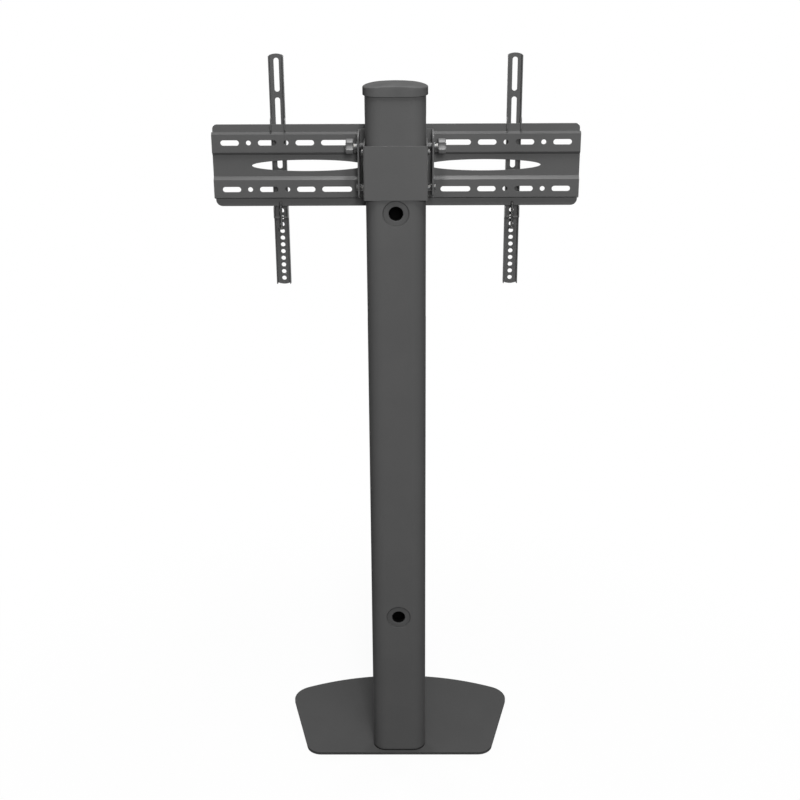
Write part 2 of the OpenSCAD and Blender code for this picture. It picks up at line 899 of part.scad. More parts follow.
// Arc slot round the pivot, in Y and Z, for the studs over the whole tilt
module tilt_slot() {
    spare = tilt_slot_spare;
    from = 90 - tilt_back - spare;
    to = 90 + tilt_forward + spare;
    far = 2 * stud_swing_r;
    intersection() {
        difference() {
            circle(r = stud_swing_r + tilt_slot_w / 2, $fn = arc_fn);
            circle(r = stud_swing_r - tilt_slot_w / 2, $fn = arc_fn);
        }
        polygon([[0, 0], far * [cos(from), sin(from)], far * [cos(to), sin(to)]]);
    }
    for (turn = [from, to])
        translate(stud_swing_r * [cos(turn), sin(turn)])
            circle(d = tilt_slot_w);
}

module tilt_bracket() {
    web_rear_y = plate_rear_y - bracket_sheet;
    color(powder_coat)
        difference() {
            intersection() {
                extrude_z(ear_lo, ear_hi)
                    translate([0, plate_rear_y])
                        mirror([0, 1, 0])
                            channel_section(2 * ear_out_x, plate_rear_y - ear_rear_y,
                                bracket_sheet, bracket_bend_r);
                extrude_x(-ear_out_x - over, ear_out_x + over)
                    rounded_box([ear_rear_y, ear_lo], [plate_rear_y + 2 * ear_corner_r, ear_hi],
                        ear_corner_r);
            }
            extrude_x(-ear_out_x - over, ear_out_x + over)
                translate([pivot_y, pivot_z]) {
                    circle(r = pivot_bolt_r + running_gap);
                    tilt_slot();
                }
            for (x = [-bracket_bolt_x, bracket_bolt_x])
                for (rise = [-bracket_bolt_rise, bracket_bolt_rise])
                    rod_y(web_rear_y - over, plate_rear_y + over, x, plate_z + rise,
                        bracket_bolt_r + bolt_gap);
        }
}

module bracket_bolts() {
    web_rear_y = plate_rear_y - bracket_sheet;
    nut_front_y = plate_rear_y + plate_sheet + bracket_nut_t;
    color(plated_steel)
        for (x = [-bracket_bolt_x, bracket_bolt_x])
            for (rise = [-bracket_bolt_rise, bracket_bolt_rise])
                difference() {
                    union() {
                        rod_y(web_rear_y, nut_front_y, x, plate_z + rise, bracket_bolt_r);
                        rod_y(web_rear_y - bracket_head_h, web_rear_y, x, plate_z + rise, bracket_head_r);
                    }
                    translate([x, web_rear_y - bracket_head_h + socket_depth, plate_z + rise])
                        rotate([90, 0, 0])
                            cylinder(h = socket_depth + over, r = socket_r, $fn = 6);
                }
}

module bracket_nuts() {
    nut_rear_y = plate_rear_y + plate_sheet;
    color(plated_steel)
        for (x = [-bracket_bolt_x, bracket_bolt_x])
            for (rise = [-bracket_bolt_rise, bracket_bolt_rise])
                difference() {
                    translate([x, nut_rear_y + bracket_nut_t, plate_z + rise])
                        rotate([90, 0, 0])
                            cylinder(h = bracket_nut_t, r = bracket_nut_r, $fn = 6);
                    rod_y(nut_rear_y - over, nut_rear_y + bracket_nut_t + over, x, plate_z + rise,
                        bracket_bolt_r + running_gap);
                }
}

// Height of a band's slope: the outer one lies on the band's own side of the plate's middle
function slope_height(band, side) = band == side ? outer_slope_h : slope_h;

// Shift of a fold through the sheet, for a slope of the given height
function fold_shift(height) = plate_sheet * tan(atan(band_depth / height) / 2);

// Section of the cross plate in Y and Z: one sheet folded into two bands
module plate_section() {
    rear = [
        for (band = [-1, 1])
            for (side = [-1, 1])
                for (deep = side < 0 ? [1, 0] : [0, 1])
                    [
                        deep * band_depth,
                        band * band_pitch / 2
                            + side * (band_face_h / 2 + deep * slope_height(band, side))
                    ]
    ];
    shifts = [
        for (band = [-1, 1])
            for (side = [-1, 1])
                for (fold = [0, 1])
                    [plate_sheet, -side * fold_shift(slope_height(band, side))]
    ];
    front_down = [for (i = [len(rear) - 1 : -1 : 0]) rear[i] + shifts[i]];
    polygon(concat(
        [[band_depth, -plate_h / 2]],
        rear,
        [[band_depth, plate_h / 2], [band_depth + plate_sheet, plate_h / 2]],
        front_down,
        [[band_depth + plate_sheet, -plate_h / 2]]
    ));
}

// Outline of the cross plate in X and Z: the flanges are a little shorter, with round corners
module plate_outline() {
    fold_z = band_pitch / 2 + band_face_h / 2 + outer_slope_h;
    flange_x = plate_w / 2 - plate_flange_inset;
    square([plate_w, 2 * fold_z], center = true);
    for (corner = [[1, plate_top_r], [-1, plate_bottom_r]]) {
        r = corner[1];
        tip = corner[0] * (plate_h / 2 - r);
        translate([0, tip])
            square([2 * (flange_x - r), 2 * r], center = true);
        translate([0, tip - corner[0] * r])
            square([2 * flange_x, 2 * r], center = true);
        for (side = [-1, 1])
            translate([side * (flange_x - r), tip])
                circle(r = r);
    }
}

// Oval window: an ellipse
module window() {
    polygon([
        for (i = [0 : $fn - 1])
            [window_l / 2 * cos(i * 360 / $fn), window_h / 2 * sin(i * 360 / $fn)]
    ]);
}

// Slots, holes and windows of the cross plate, in X and Z
module plate_openings() {
    for (side = [-1, 1]) {
        translate([side * window_x, 0])
            window();
        for (row = [-slot_row_pitch / 2, slot_row_pitch / 2]) {
            translate([side * long_slot_x, row])
                flat_oval(long_slot_l, slot_w);
            for (i = [0 : row_steps])
                translate([side * (row_start_x + i * slot_step), row])
                    if (i % 2 == 0)
                        flat_oval(slot_l, slot_w);
                    else
                        circle(d = hole_d);
        }
    }
    for (x = [-bracket_bolt_x, bracket_bolt_x])
        for (rise = [-bracket_bolt_rise, bracket_bolt_rise])
            translate([x, rise])
                circle(r = bracket_bolt_r + bolt_gap);
}

module wall_plate() {
    color(powder_coat)
        translate([0, plate_rear_y, plate_z])
            difference() {
                intersection() {
                    extrude_x(-plate_w / 2 - over, plate_w / 2 + over)
                        plate_section();
                    extrude_y(-over, band_depth + plate_sheet + over)
                        plate_outline();
                }
                extrude_y(-over, band_depth + plate_sheet + over)
                    plate_openings();
            }
}

// Outline of an arm in X and Z, with arched ends
module arm_outline() {
    translate([-arm_w / 2, arm_lo + arm_end_sag])
        square([arm_w, arm_hi - arm_lo - 2 * arm_end_sag]);
    intersection() {
        translate([0, arm_hi - arm_end_r])
            circle(r = arm_end_r);
        translate([-arm_w / 2, arm_hi - arm_end_r])
            square([arm_w, arm_end_r]);
    }
    intersection() {
        translate([0, arm_lo + arm_end_r])
            circle(r = arm_end_r);
        translate([-arm_w / 2, arm_lo])
            square([arm_w, arm_end_r]);
    }
}

// Slots and round holes of an arm, in X and Z
module arm_openings() {
    upper_slot_z = arm_hi - arm_top_margin - arm_upper_slot_l / 2;
    lower_slot_z = upper_slot_z - arm_upper_slot_l / 2 - arm_slot_gap - arm_lower_slot_l / 2;
    translate([0, upper_slot_z])
        rotate(90)
            flat_oval(arm_upper_slot_l, arm_slot_w);
    translate([0, lower_slot_z])
        rotate(90)
            flat_oval(arm_lower_slot_l, arm_slot_w);
    for (i = [0 : arm_hole_count - 1])
        translate([0, arm_lo + arm_bottom_margin + i * arm_hole_pitch])
            circle(d = arm_hole_d);
}

// Hook and tab of an arm's flange, in Y and Z, with the notch that the plate's edge fills
module arm_hook() {
    difference() {
        rounded_box([hook_rear_y, hook_lo], [arm_front_y - arm_bend_r, hook_hi], hook_corner_r);
        translate([flange_rear_y - hook_gap, hook_lo - over])
            square([arm_front_y - flange_rear_y, plate_z + plate_h / 2 + hook_gap - hook_lo + over]);
    }
    rounded_box([hook_rear_y, tab_lo], [arm_front_y - arm_bend_r, tab_hi], hook_corner_r);
}

// Hooked channel that carries the television, on one side
module arm(side) {
    inner_x = arm_w / 2 - arm_sheet;
    color(powder_coat)
        translate([side * arm_x, 0, 0])
            difference() {
                union() {
                    intersection() {
                        extrude_z(arm_lo, arm_hi)
                            translate([0, arm_front_y])
                                mirror([0, 1, 0])
                                    channel_section(arm_w, arm_d, arm_sheet, arm_bend_r);
                        extrude_y(arm_rear_y - over, arm_front_y + over)
                            arm_outline();
                    }
                    for (flange_x = [-arm_w / 2, inner_x])
                        extrude_x(flange_x, flange_x + arm_sheet)
                            arm_hook();
                    translate([-inner_x, hook_rear_y + hook_corner_r, tab_lo])
                        cube([2 * inner_x, arm_rear_y - hook_rear_y - hook_corner_r, arm_sheet]);
                }
                extrude_y(arm_front_y - arm_sheet - over, arm_front_y + over)
                    arm_openings();
                translate([0, lock_screw_y, tab_lo - over])
                    cylinder(h = arm_sheet + 2 * over, r = lock_screw_r + running_gap);
            }
}

module left_arm() {
    arm(-1);
}

module right_arm() {
    arm(1);
}

// Screw that stands behind the plate's lower edge and keeps the arm from lifting off
module lock_screw(side) {
    head_z = tab_lo - lock_screw_drop - lock_head_h;
    tip_z = plate_z - plate_h / 2 + lock_screw_rise;
    color(plated_steel)
        translate([side * arm_x, lock_screw_y, head_z]) {
            cylinder(h = lock_head_h, r = lock_head_r);
            cylinder(h = tip_z - head_z, r = lock_screw_r);
        }
}

module left_lock_screw() {
    lock_screw(-1);
}

module right_lock_screw() {
    lock_screw(1);
}

base_plate();
base_pads();
base_screws();
column_foot();
column_tube();
top_cap();
upper_grommet();
lower_grommet();
collar();
front_channel();
left_nut_plate();
right_nut_plate();
clamp_bolts();
clamp_washers();
pivot_bolts();
pivot_nuts();
spacer_bushes();
tilt_studs();
tilt_washers();
left_knob_insert();
right_knob_insert();
left_tilt_knob();
right_tilt_knob();
tilt_bracket();
bracket_bolts();
bracket_nuts();
wall_plate();
left_arm();
right_arm();
left_lock_screw();
right_lock_screw();
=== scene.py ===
"""Looks of a floor stand for a flat television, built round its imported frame.

The stand is seen from behind and from above. X runs across the stand, Y towards the television
and Z up, and the origin lies on the floor under the column. Lengths are in metres, except that
the named sizes of the new pieces are in millimetres until their grids are multiplied by MM.
"""

import math

import bmesh
import bpy
import numpy as np
from mathutils import Matrix, Vector


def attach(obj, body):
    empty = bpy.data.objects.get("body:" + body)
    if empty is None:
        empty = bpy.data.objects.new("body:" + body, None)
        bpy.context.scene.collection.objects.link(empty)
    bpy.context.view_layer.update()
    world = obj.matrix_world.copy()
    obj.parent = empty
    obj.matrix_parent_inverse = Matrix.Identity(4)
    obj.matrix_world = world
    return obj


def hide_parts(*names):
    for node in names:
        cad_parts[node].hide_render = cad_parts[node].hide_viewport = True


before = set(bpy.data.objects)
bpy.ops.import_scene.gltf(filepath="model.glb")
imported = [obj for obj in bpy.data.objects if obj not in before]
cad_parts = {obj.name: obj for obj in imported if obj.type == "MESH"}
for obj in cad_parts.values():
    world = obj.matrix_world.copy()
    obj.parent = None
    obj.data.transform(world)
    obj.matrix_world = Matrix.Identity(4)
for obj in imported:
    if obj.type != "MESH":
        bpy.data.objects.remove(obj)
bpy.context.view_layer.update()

MM = 0.001
SCENE = bpy.context.scene


# Camera: behind the stand, above its top, as the photograph was taken

CAMERA_PLACE = Vector((0.02572, -2.45389, 1.81518))
CAMERA_YAW = math.radians(0.48)
CAMERA_PITCH = math.radians(22.64)
CAMERA_ROLL = math.radians(0.33)
CAMERA_LENS = 63.0
CAMERA_SENSOR = 36.0
CAMERA_NEAR, CAMERA_FAR = 0.05, 100.0


def place_camera():
    """Turns the camera by its yaw, then down by its pitch, then about its own line of sight."""
    yaw_sin, yaw_cos = math.sin(CAMERA_YAW), math.cos(CAMERA_YAW)
    pitch_sin, pitch_cos = math.sin(CAMERA_PITCH), math.cos(CAMERA_PITCH)
    roll_sin, roll_cos = math.sin(CAMERA_ROLL), math.cos(CAMERA_ROLL)
    ahead = Vector((-yaw_sin * pitch_cos, yaw_cos * pitch_cos, -pitch_sin))
    level_right = Vector((yaw_cos, yaw_sin, 0))
    level_up = Vector((-yaw_sin * pitch_sin, yaw_cos * pitch_sin, pitch_cos))
    right = roll_cos * level_right - roll_sin * level_up
    up = roll_sin * level_right + roll_cos * level_up
    turn = Matrix((right, up, -ahead)).transposed()
    lens = bpy.data.cameras.new("view")
    lens.lens, lens.sensor_width = CAMERA_LENS, CAMERA_SENSOR
    lens.clip_start, lens.clip_end = CAMERA_NEAR, CAMERA_FAR
    camera = bpy.data.objects.new("view", lens)
    camera.matrix_world = Matrix.Translation(CAMERA_PLACE) @ turn.to_4x4()
    SCENE.collection.objects.link(camera)
    SCENE.camera = camera


place_camera()


# Finishes: each is a procedural material over the place of a point on the stand

BEVEL_SAMPLES = 4
# How far the rounded normal leans from the face's where an edge starts to show and where it
# shows in full, as 1 less the cosine of the angle between them
EDGE_STARTS, EDGE_FULL = 0.01, 0.22
# The part of a noise over which a mottled grey goes from its darker to its lighter tone
MOTTLE_STARTS, MOTTLE_FULL = 0.3, 0.7


class Value:
    """A socket of a finish, with the sums that a pattern over the surface needs."""

    def __init__(self, finish, socket):
        self.finish, self.socket = finish, socket

    def __add__(self, other):
        return self.finish.calculate("ADD", self, other)

    def __radd__(self, other):
        return self.finish.calculate("ADD", other, self)

    def __sub__(self, other):
        return self.finish.calculate("SUBTRACT", self, other)

    def __rsub__(self, other):
        return self.finish.calculate("SUBTRACT", other, self)

    def __mul__(self, other):
        return self.finish.calculate("MULTIPLY", self, other)

    def __rmul__(self, other):
        return self.finish.calculate("MULTIPLY", other, self)

    def __abs__(self):
        return self.finish.calculate("ABSOLUTE", self)

    def swing(self, amount):
        """How far a value that runs from 0 to 1 is off its middle, times the amount."""
        return (self - 0.5) * amount


class Finish:
    """A material made node by node, from the surface coordinates to its shader."""

    def __init__(self, name):
        self.material = bpy.data.materials.new(name)
        self.material.use_nodes = True
        self.tree = self.material.node_tree
        self.tree.nodes.clear()

    def node(self, kind, settings=None, inputs=None, output=0):
        """Makes a node, sets its settings first, then gives its sockets values or links."""
        made = self.tree.nodes.new("ShaderNode" + kind)
        for name, value in (settings or {}).items():
            setattr(made, name, value)
        for name, value in (inputs or {}).items():
            socket = made.inputs[name]
            if isinstance(value, Value):
                self.tree.links.new(value.socket, socket)
            else:
                socket.default_value = value
        return Value(self, made.outputs[output]) if made.outputs else None

    def calculate(self, operation, *terms):
        """The Math node's operation on values or numbers."""
        return self.node("Math", {"operation": operation}, dict(enumerate(terms)))

    def larger(self, first, second):
        """The larger of the two."""
        return self.calculate("MAXIMUM", first, second)

    def length(self, first, second):
        """The length of a line with these two parts, which stand square to each other."""
        return self.calculate("SQRT", first * first + second * second)

    def place(self):
        """Where a point of the surface lies on the stand, in metres."""
        return self.node("TexCoord", output="Object")

    def axes(self):
        """The three parts of a point's place on the stand, along X, Y and Z."""
        parts = self.node("SeparateXYZ", None, {0: self.place()})
        return [Value(self, socket) for socket in parts.socket.node.outputs]

    def stretched(self, scale):
        """The place on the surface with each axis multiplied by its own number."""
        return self.node("Mapping", {"vector_type": "POINT"},
                         {"Vector": self.place(), "Scale": scale})

    def noise(self, vector, scale, detail, rough):
        """Soft noise between 0 and 1, with about scale clouds to each unit of the vector."""
        return self.node("TexNoise", None, {
            "Vector": vector, "Scale": scale, "Detail": detail, "Roughness": rough})

    def step(self, value, low, high):
        """0 below low, 1 above high, and smooth between them."""
        return self.node("MapRange", {"interpolation_type": "SMOOTHSTEP"},
                         {0: value, 1: low, 2: high})

    def blend(self, share, first, second):
        """The first colour where the share is 0, and the second where it is 1."""
        return self.node("Mix", {"data_type": "RGBA"}, {0: share, 6: first, 7: second}, output=2)

    def mottled(self, noise, level, darker, lighter):
        """A grey of that level times darker where the noise is low, and times lighter where it
        is high."""
        share = self.step(noise, MOTTLE_STARTS, MOTTLE_FULL)
        return self.blend(share, grey(level * darker), grey(level * lighter))

    def tinged(self, colour, mask, share, tinge):
        """The colour, with that share of the tinge mixed in where the mask is 1."""
        return self.blend(mask * share, colour, tinge)

    def rounded(self, radius):
        """The surface's normal as if its edges were rounded by the radius."""
        return self.node("Bevel", {"samples": BEVEL_SAMPLES}, {"Radius": radius})

    def edge(self, rounded):
        """0 on a flat or gently curved face, rising to 1 along its edges."""
        flat = self.node("NewGeometry", output="Normal")
        along = self.node("VectorMath", {"operation": "DOT_PRODUCT"},
                          {0: rounded, 1: flat}, output="Value")
        return self.step(1 - along, EDGE_STARTS, EDGE_FULL)

    def bump(self, height, distance, strength, normal):
        """The normal, tilted by a relief of that height times the distance."""
        return self.node("Bump", None, {
            "Height": height, "Distance": distance, "Strength": strength, "Normal": normal})

    def surface(self, **sockets):
        """Ends the finish with its shader, whose sockets are named with _ for a space."""
        inputs = {name.replace("_", " "): value for name, value in sockets.items()}
        shader = self.node("BsdfPrincipled", None, inputs)
        self.node("OutputMaterial", None, {"Surface": shader})
        return self.material


def tinted(level, red, blue):
    """A grey of that level with its red and its blue multiplied."""
    return (level * red, level, level * blue, 1)


def grey(level):
    """A plain grey of that level."""
    return tinted(level, 1, 1)


# Scales that stretch a noise along X, Y and Z: rubbed places are longer upwards, and the marks
# of a turned piece are fine along its axis and coarse across it

RUB_SCALES = (160.0, 160.0, 45.0)
NYLON_MARK_SCALES = (2600.0, 300.0, 300.0)
MARK_FINE, MARK_COARSE = 5200.0, 260.0
MARKS_ALONG_X = (MARK_FINE, MARK_COARSE, MARK_COARSE)
MARKS_ALONG_Y = (MARK_COARSE, MARK_FINE, MARK_COARSE)
MARKS_ALONG_Z = (MARK_COARSE, MARK_COARSE, MARK_FINE)


# Painted shade on the column and its grommets: nearly black inside the tube and the grommets'
# sleeves, darker in the dishes round the cable holes, and a painted contact shadow at the
# column's foot. A pair is where a fade starts and ends.

PAINTED_SHADE_BLACK = 0.002
TUBE_HALF_FLAT = 27.0 * MM
TUBE_INSIDE = (25.3 * MM, 26.3 * MM)
UPPER_HOLE_Z, LOWER_HOLE_Z = 1161.3 * MM, 329.4 * MM
DISH_RIM = (24.3 * MM, 24.7 * MM)
DISH_DEPTH = (-25.0 * MM, 0.0)
DISH_SHARE = 0.28
FOOT_SHADOW_TOP = (7.5 * MM, 13.0 * MM)
SLEEVE_START = (-25.6 * MM, -24.4 * MM)


def painted_shade_in_column(finish):
    """1 on the inside of the tube, DISH_SHARE in the dishes round its cable holes, 1 in a band
    where it stands on the base plate, and 0 elsewhere. All three are painted shade: black paint
    inside the tube, darker paint in the dishes, and a painted contact shadow at the foot. The
    inside is told by how near it is to the middle line, which joins the centres of the tube's two
    round ends: the distance is the length whose parts are Y and what X has past the line's end. A
    dish is a disc about its hole in X and Z, on the rear half of the tube."""
    # Painted shade: the tube's inside and the hole dishes are painted towards black, and a band
    # at the foot is a painted contact shadow.
    x, y, z = finish.axes()
    past_end = finish.larger(abs(x) - TUBE_HALF_FLAT, 0)
    inside = 1 - finish.step(finish.length(past_end, y), *TUBE_INSIDE)
    rise = finish.calculate("MINIMUM", abs(z - UPPER_HOLE_Z), abs(z - LOWER_HOLE_Z))
    disc = 1 - finish.step(finish.length(x, rise), *DISH_RIM)
    dish = disc * (1 - finish.step(y, *DISH_DEPTH))
    foot_shadow = 1 - finish.step(z, *FOOT_SHADOW_TOP)
    return finish.larger(finish.larger(inside, dish * DISH_SHARE), foot_shadow)


def painted_shade_in_sleeve(finish):
    """0 on the face of a cable grommet, rising to 1 in its mouth and all through its sleeve,
    where it is painted nearly black as painted shade inside the hole.
    """
    _, y, _ = finish.axes()
    return finish.step(y, *SLEEVE_START)


def powder_coat(name, level, roughness, gloss, dark=None):
    """Powder coat: a fine orange peel, slow clouds in its grey, and rubbed edges where the coat
    is thinner, painted lighter partly as wear and partly as a painted highlight. Places given as
    dark are painted nearly black as painted shade."""
    finish = Finish(name)
    place = finish.place()
    clouds = finish.noise(place, scale=7.0, detail=3.0, rough=0.55)
    peel = finish.noise(place, scale=850.0, detail=2.0, rough=0.5)
    grit = finish.noise(place, scale=3200.0, detail=1.0, rough=0.5)
    rubs = finish.noise(finish.stretched(RUB_SCALES), scale=1.0, detail=4.0, rough=0.65)
    rounded = finish.rounded(radius=0.6 * MM)
    # Wear and painted highlight: rubbed edges are painted lighter, partly standing for light
    # caught on bends.
    wear_and_highlight = finish.edge(rounded) * finish.step(rubs, low=0.42, high=0.62)
    colour = finish.mottled(clouds, level, darker=0.96, lighter=1.04)
    colour = finish.tinged(colour, finish.step(grit, low=0.35, high=0.75), share=0.22,
                           tinge=grey(level * 1.5))
    colour = finish.tinged(colour, wear_and_highlight, share=0.35,
                           tinge=tinted(level * 2.1, red=1.01, blue=0.99))
    # Painted shade: the places given here are painted nearly black.
    if dark:
        colour = finish.blend(dark(finish), colour, grey(PAINTED_SHADE_BLACK))
    return finish.surface(
        Base_Color=colour,
        Roughness=roughness + peel.swing(0.1) + clouds.swing(0.06) - wear_and_highlight * 0.08,
        Specular_IOR_Level=gloss,
        Normal=finish.bump(peel * 0.75 + grit * 0.25, distance=0.05 * MM, strength=0.5,
                           normal=rounded))


def moulded_plastic(name, level, roughness, gloss, grain_scale, dark=None):
    """Moulded plastic with an eroded grain: small round pits, a finer grain that changes its
    gloss, and edges rounded by the mould, glossier from its polish and painted lighter as a
    painted highlight. Places given as dark are painted nearly black as painted shade."""
    finish = Finish(name)
    place = finish.place()
    pits = finish.node("TexVoronoi", {"feature": "SMOOTH_F1"},
                       {"Vector": place, "Scale": grain_scale, "Smoothness": 0.6})
    grain = finish.noise(place, scale=grain_scale * 1.7, detail=2.0, rough=0.6)
    flow = finish.noise(place, scale=38.0, detail=3.0, rough=0.5)
    rounded = finish.rounded(radius=0.5 * MM)
    # Polish and painted highlight: edges are glossier, and are also painted lighter as a painted
    # highlight.
    polish_and_highlight = finish.edge(rounded)
    colour = finish.mottled(flow, level, darker=0.95, lighter=1.06)
    colour = finish.tinged(colour, polish_and_highlight, share=0.25, tinge=grey(level * 1.6))
    # Painted shade: the places given here are painted nearly black.
    if dark:
        colour = finish.blend(dark(finish), colour, grey(PAINTED_SHADE_BLACK))
    return finish.surface(
        Base_Color=colour,
        Roughness=roughness + grain.swing(0.12) + flow.swing(0.05) - polish_and_highlight * 0.06,
        Specular_IOR_Level=gloss,
        Normal=finish.bump(pits * 0.6 + grain * 0.4, distance=0.05 * MM, strength=0.45,
                           normal=rounded))


def plated_steel(name, level, mark_scales):
    """Zinc-plated steel: lathe marks across the axis, cloudy plating with a faint blue and
    yellow tint, and small dull spots."""
    finish = Finish(name)
    marks = finish.noise(finish.stretched(mark_scales), scale=1.0, detail=3.0, rough=0.7)
    clouds = finish.noise(finish.place(), scale=260.0, detail=3.0, rough=0.55)
    spots = finish.noise(finish.place(), scale=1500.0, detail=1.0, rough=0.5)
    tint = finish.blend(finish.step(clouds, low=0.35, high=0.65),
                        tinted(level, red=0.97, blue=1.04), tinted(level, red=1.03, blue=0.94))
    dull = finish.step(spots, low=0.62, high=0.72)
    return finish.surface(
        Base_Color=finish.tinged(tint, dull, share=0.4, tinge=grey(level * 0.6)),
        Metallic=1.0,
        Roughness=0.46 + marks.swing(0.18) + clouds.swing(0.14) + dull * 0.12,
        Normal=finish.bump(marks, distance=0.03 * MM, strength=0.4,
                           normal=finish.rounded(radius=0.35 * MM)))


def black_rubber(name):
    """Moulded rubber: matt, finely pebbled, and dusty in patches."""
    finish = Finish(name)
    place = finish.place()
    pebbles = finish.noise(place, scale=1400.0, detail=2.0, rough=0.6)
    dust = finish.noise(place, scale=90.0, detail=4.0, rough=0.6)
    return finish.surface(
        Base_Color=finish.tinged(grey(0.022), finish.step(dust, low=0.5, high=0.8), share=0.5,
                                 tinge=tinted(0.05, red=1.02, blue=0.98)),
        Roughness=0.78 + pebbles.swing(0.2),
        Specular_IOR_Level=0.3,
        Normal=finish.bump(pebbles, distance=0.08 * MM, strength=0.6,
                           normal=finish.rounded(radius=0.5 * MM)))


def black_nylon(name):
    """Turned nylon: dark, half gloss, with fine turning marks."""
    finish = Finish(name)
    marks = finish.noise(finish.stretched(NYLON_MARK_SCALES), scale=1.0, detail=2.0, rough=0.6)
    clouds = finish.noise(finish.place(), scale=60.0, detail=3.0, rough=0.5)
    return finish.surface(
        Base_Color=finish.mottled(clouds, level=0.024, darker=0.75, lighter=1.25),
        Roughness=0.42 + marks.swing(0.16),
        Normal=finish.bump(marks, distance=0.03 * MM, strength=0.4,
                           normal=finish.rounded(radius=0.4 * MM)))


# Level is the grey of a finish's base colour, and gloss its specular level
FINISH_SETTINGS = {
    "column_coat": (powder_coat, dict(level=0.107, roughness=0.8, gloss=0.04,
                                      dark=painted_shade_in_column)),
    "sheet_coat": (powder_coat, dict(level=0.098, roughness=0.32, gloss=0.14)),
    "base_coat": (powder_coat, dict(level=0.066, roughness=0.7, gloss=0.05)),
    "cap_plastic": (moulded_plastic, dict(level=0.11, roughness=0.6, gloss=0.0,
                                          grain_scale=1500.0)),
    "grommet_plastic": (moulded_plastic, dict(level=0.09, roughness=0.6, gloss=0.1,
                                              grain_scale=1500.0, dark=painted_shade_in_sleeve)),
    "knob_plastic": (moulded_plastic, dict(level=0.12, roughness=0.46, gloss=0.5,
                                           grain_scale=2200.0)),
    "zinc_along_x": (plated_steel, dict(level=0.17, mark_scales=MARKS_ALONG_X)),
    "bolt_along_x": (plated_steel, dict(level=0.08, mark_scales=MARKS_ALONG_X)),
    "bolt_along_y": (plated_steel, dict(level=0.08, mark_scales=MARKS_ALONG_Y)),
    "bolt_along_z": (plated_steel, dict(level=0.08, mark_scales=MARKS_ALONG_Z)),
    "rubber": (black_rubber, {}),
    "nylon": (black_nylon, {}),
}
FINISHES = {name: make(name, **settings) for name, (make, settings) in FINISH_SETTINGS.items()}

NODE_FINISHES = {
    "column_coat": ["column_tube", "column_foot"],
    "sheet_coat": ["collar", "front_channel", "tilt_bracket", "wall_plate", "left_arm",
                   "right_arm"],
    "base_coat": ["base_plate"],
    "cap_plastic": ["top_cap"],
    "grommet_plastic": ["upper_grommet", "lower_grommet"],
    "knob_plastic": ["left_tilt_knob", "right_tilt_knob"],
    "zinc_along_x": ["tilt_studs", "left_knob_insert", "right_knob_insert"],
    "bolt_along_x": ["clamp_bolts", "clamp_washers", "pivot_bolts", "pivot_nuts",
                     "tilt_washers", "left_nut_plate", "right_nut_plate"],
    "bolt_along_y": ["bracket_bolts", "bracket_nuts"],
    "bolt_along_z": ["base_screws", "left_lock_screw", "right_lock_screw"],
    "rubber": ["base_pads"],
    "nylon": ["spacer_bushes"],
}


def finish_nodes():
    """Gives every CAD node the finish of its real material."""
    for finish, names in NODE_FINISHES.items():
        for name in names:
            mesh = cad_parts[name].data
            mesh.materials.clear()
            mesh.materials.append(FINISHES[finish])


finish_nodes()


# New pieces: surfaces worked out as whole arrays of points

SHARP_ANGLE = math.radians(38)
WELD = 1e-7
SIDES = (("left", -1), ("right", 1))


def skin(name, grid, finish, body, replaced):
    """Makes a piece of a grid of points. Rows follow one another along the piece, each row
    closes on itself, and a first or last row with no size becomes a pole or a seam."""
    rows, columns = grid.shape[:2]
    row, column = np.meshgrid(np.arange(rows - 1), np.arange(columns), indexing="ij")
    following = (column + 1) % columns
    quads = np.stack([row * columns + column, row * columns + following,
                      (row + 1) * columns + following, (row + 1) * columns + column], axis=-1)
    mesh = bpy.data.meshes.new(name)
    mesh.from_pydata(grid.reshape(-1, 3).tolist(), [], quads.reshape(-1, 4).tolist())
    close_skin(mesh)
    mesh.materials.append(FINISHES[finish])
    piece = bpy.data.objects.new(name, mesh)
    SCENE.collection.objects.link(piece)
    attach(piece, body)
    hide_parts(replaced)


def close_skin(mesh):
    """Welds poles and seams, turns the faces outwards, and leaves hard edges only at corners."""
    work = bmesh.new()
    work.from_mesh(mesh)
    bmesh.ops.remove_doubles(work, verts=work.verts, dist=WELD)
    bmesh.ops.dissolve_degenerate(work, edges=work.edges, dist=WELD)
    bmesh.ops.recalc_face_normals(work, faces=work.faces)
    work.to_mesh(mesh)
    work.free()
    mesh.shade_smooth()
    mesh.set_sharp_from_angle(angle=SHARP_ANGLE)


def arc(centre, radius, start, end, steps):
    """Points of an arc about the centre, in the plane of (outwards, along), from the start
    angle to the end angle: the centre plus the radius times the angle's cosine and sine."""
    angle = np.radians(np.linspace(start, end, steps))
    return np.stack([centre[0] + radius * np.cos(angle),
                     centre[1] + radius * np.sin(angle)], axis=1)


# Top cap: a flat-oval skirt, a rounded rim, a crown across the stand and a plug in the tube.
# A reach is a distance outwards from the middle line of the oval.

CAP_HALF_FLAT = 27.0
CAP_REACH = 30.3
CAP_APEX_Z = 1387.78
CAP_CROWN_R = 360.0
CAP_RIM_R = 2.5
CAP_SKIRT_Z = 1368.6
CAP_SKIRT_IN = 27.2
CAP_LIP_R = 0.5
CAP_EDGE = 0.4
CAP_WALL_Z = (CAP_SKIRT_Z + 1.0, CAP_APEX_Z - 8.0)
CAP_SEAT_Z = 1380.5
CAP_PLUG_Z = 1360.5
CAP_PLUG_IN, CAP_PLUG_OUT = 22.8, 24.8
CAP_PLUG_TAPER, CAP_PLUG_TAPER_H = 0.6, 0.8
CAP_ROUND_STEPS, CAP_FLAT_STEPS = 49, 17
CAP_LIP_STEPS, CAP_WALL_STEPS, CAP_RIM_STEPS, CAP_TOP_STEPS = 5, 5, 11, 26


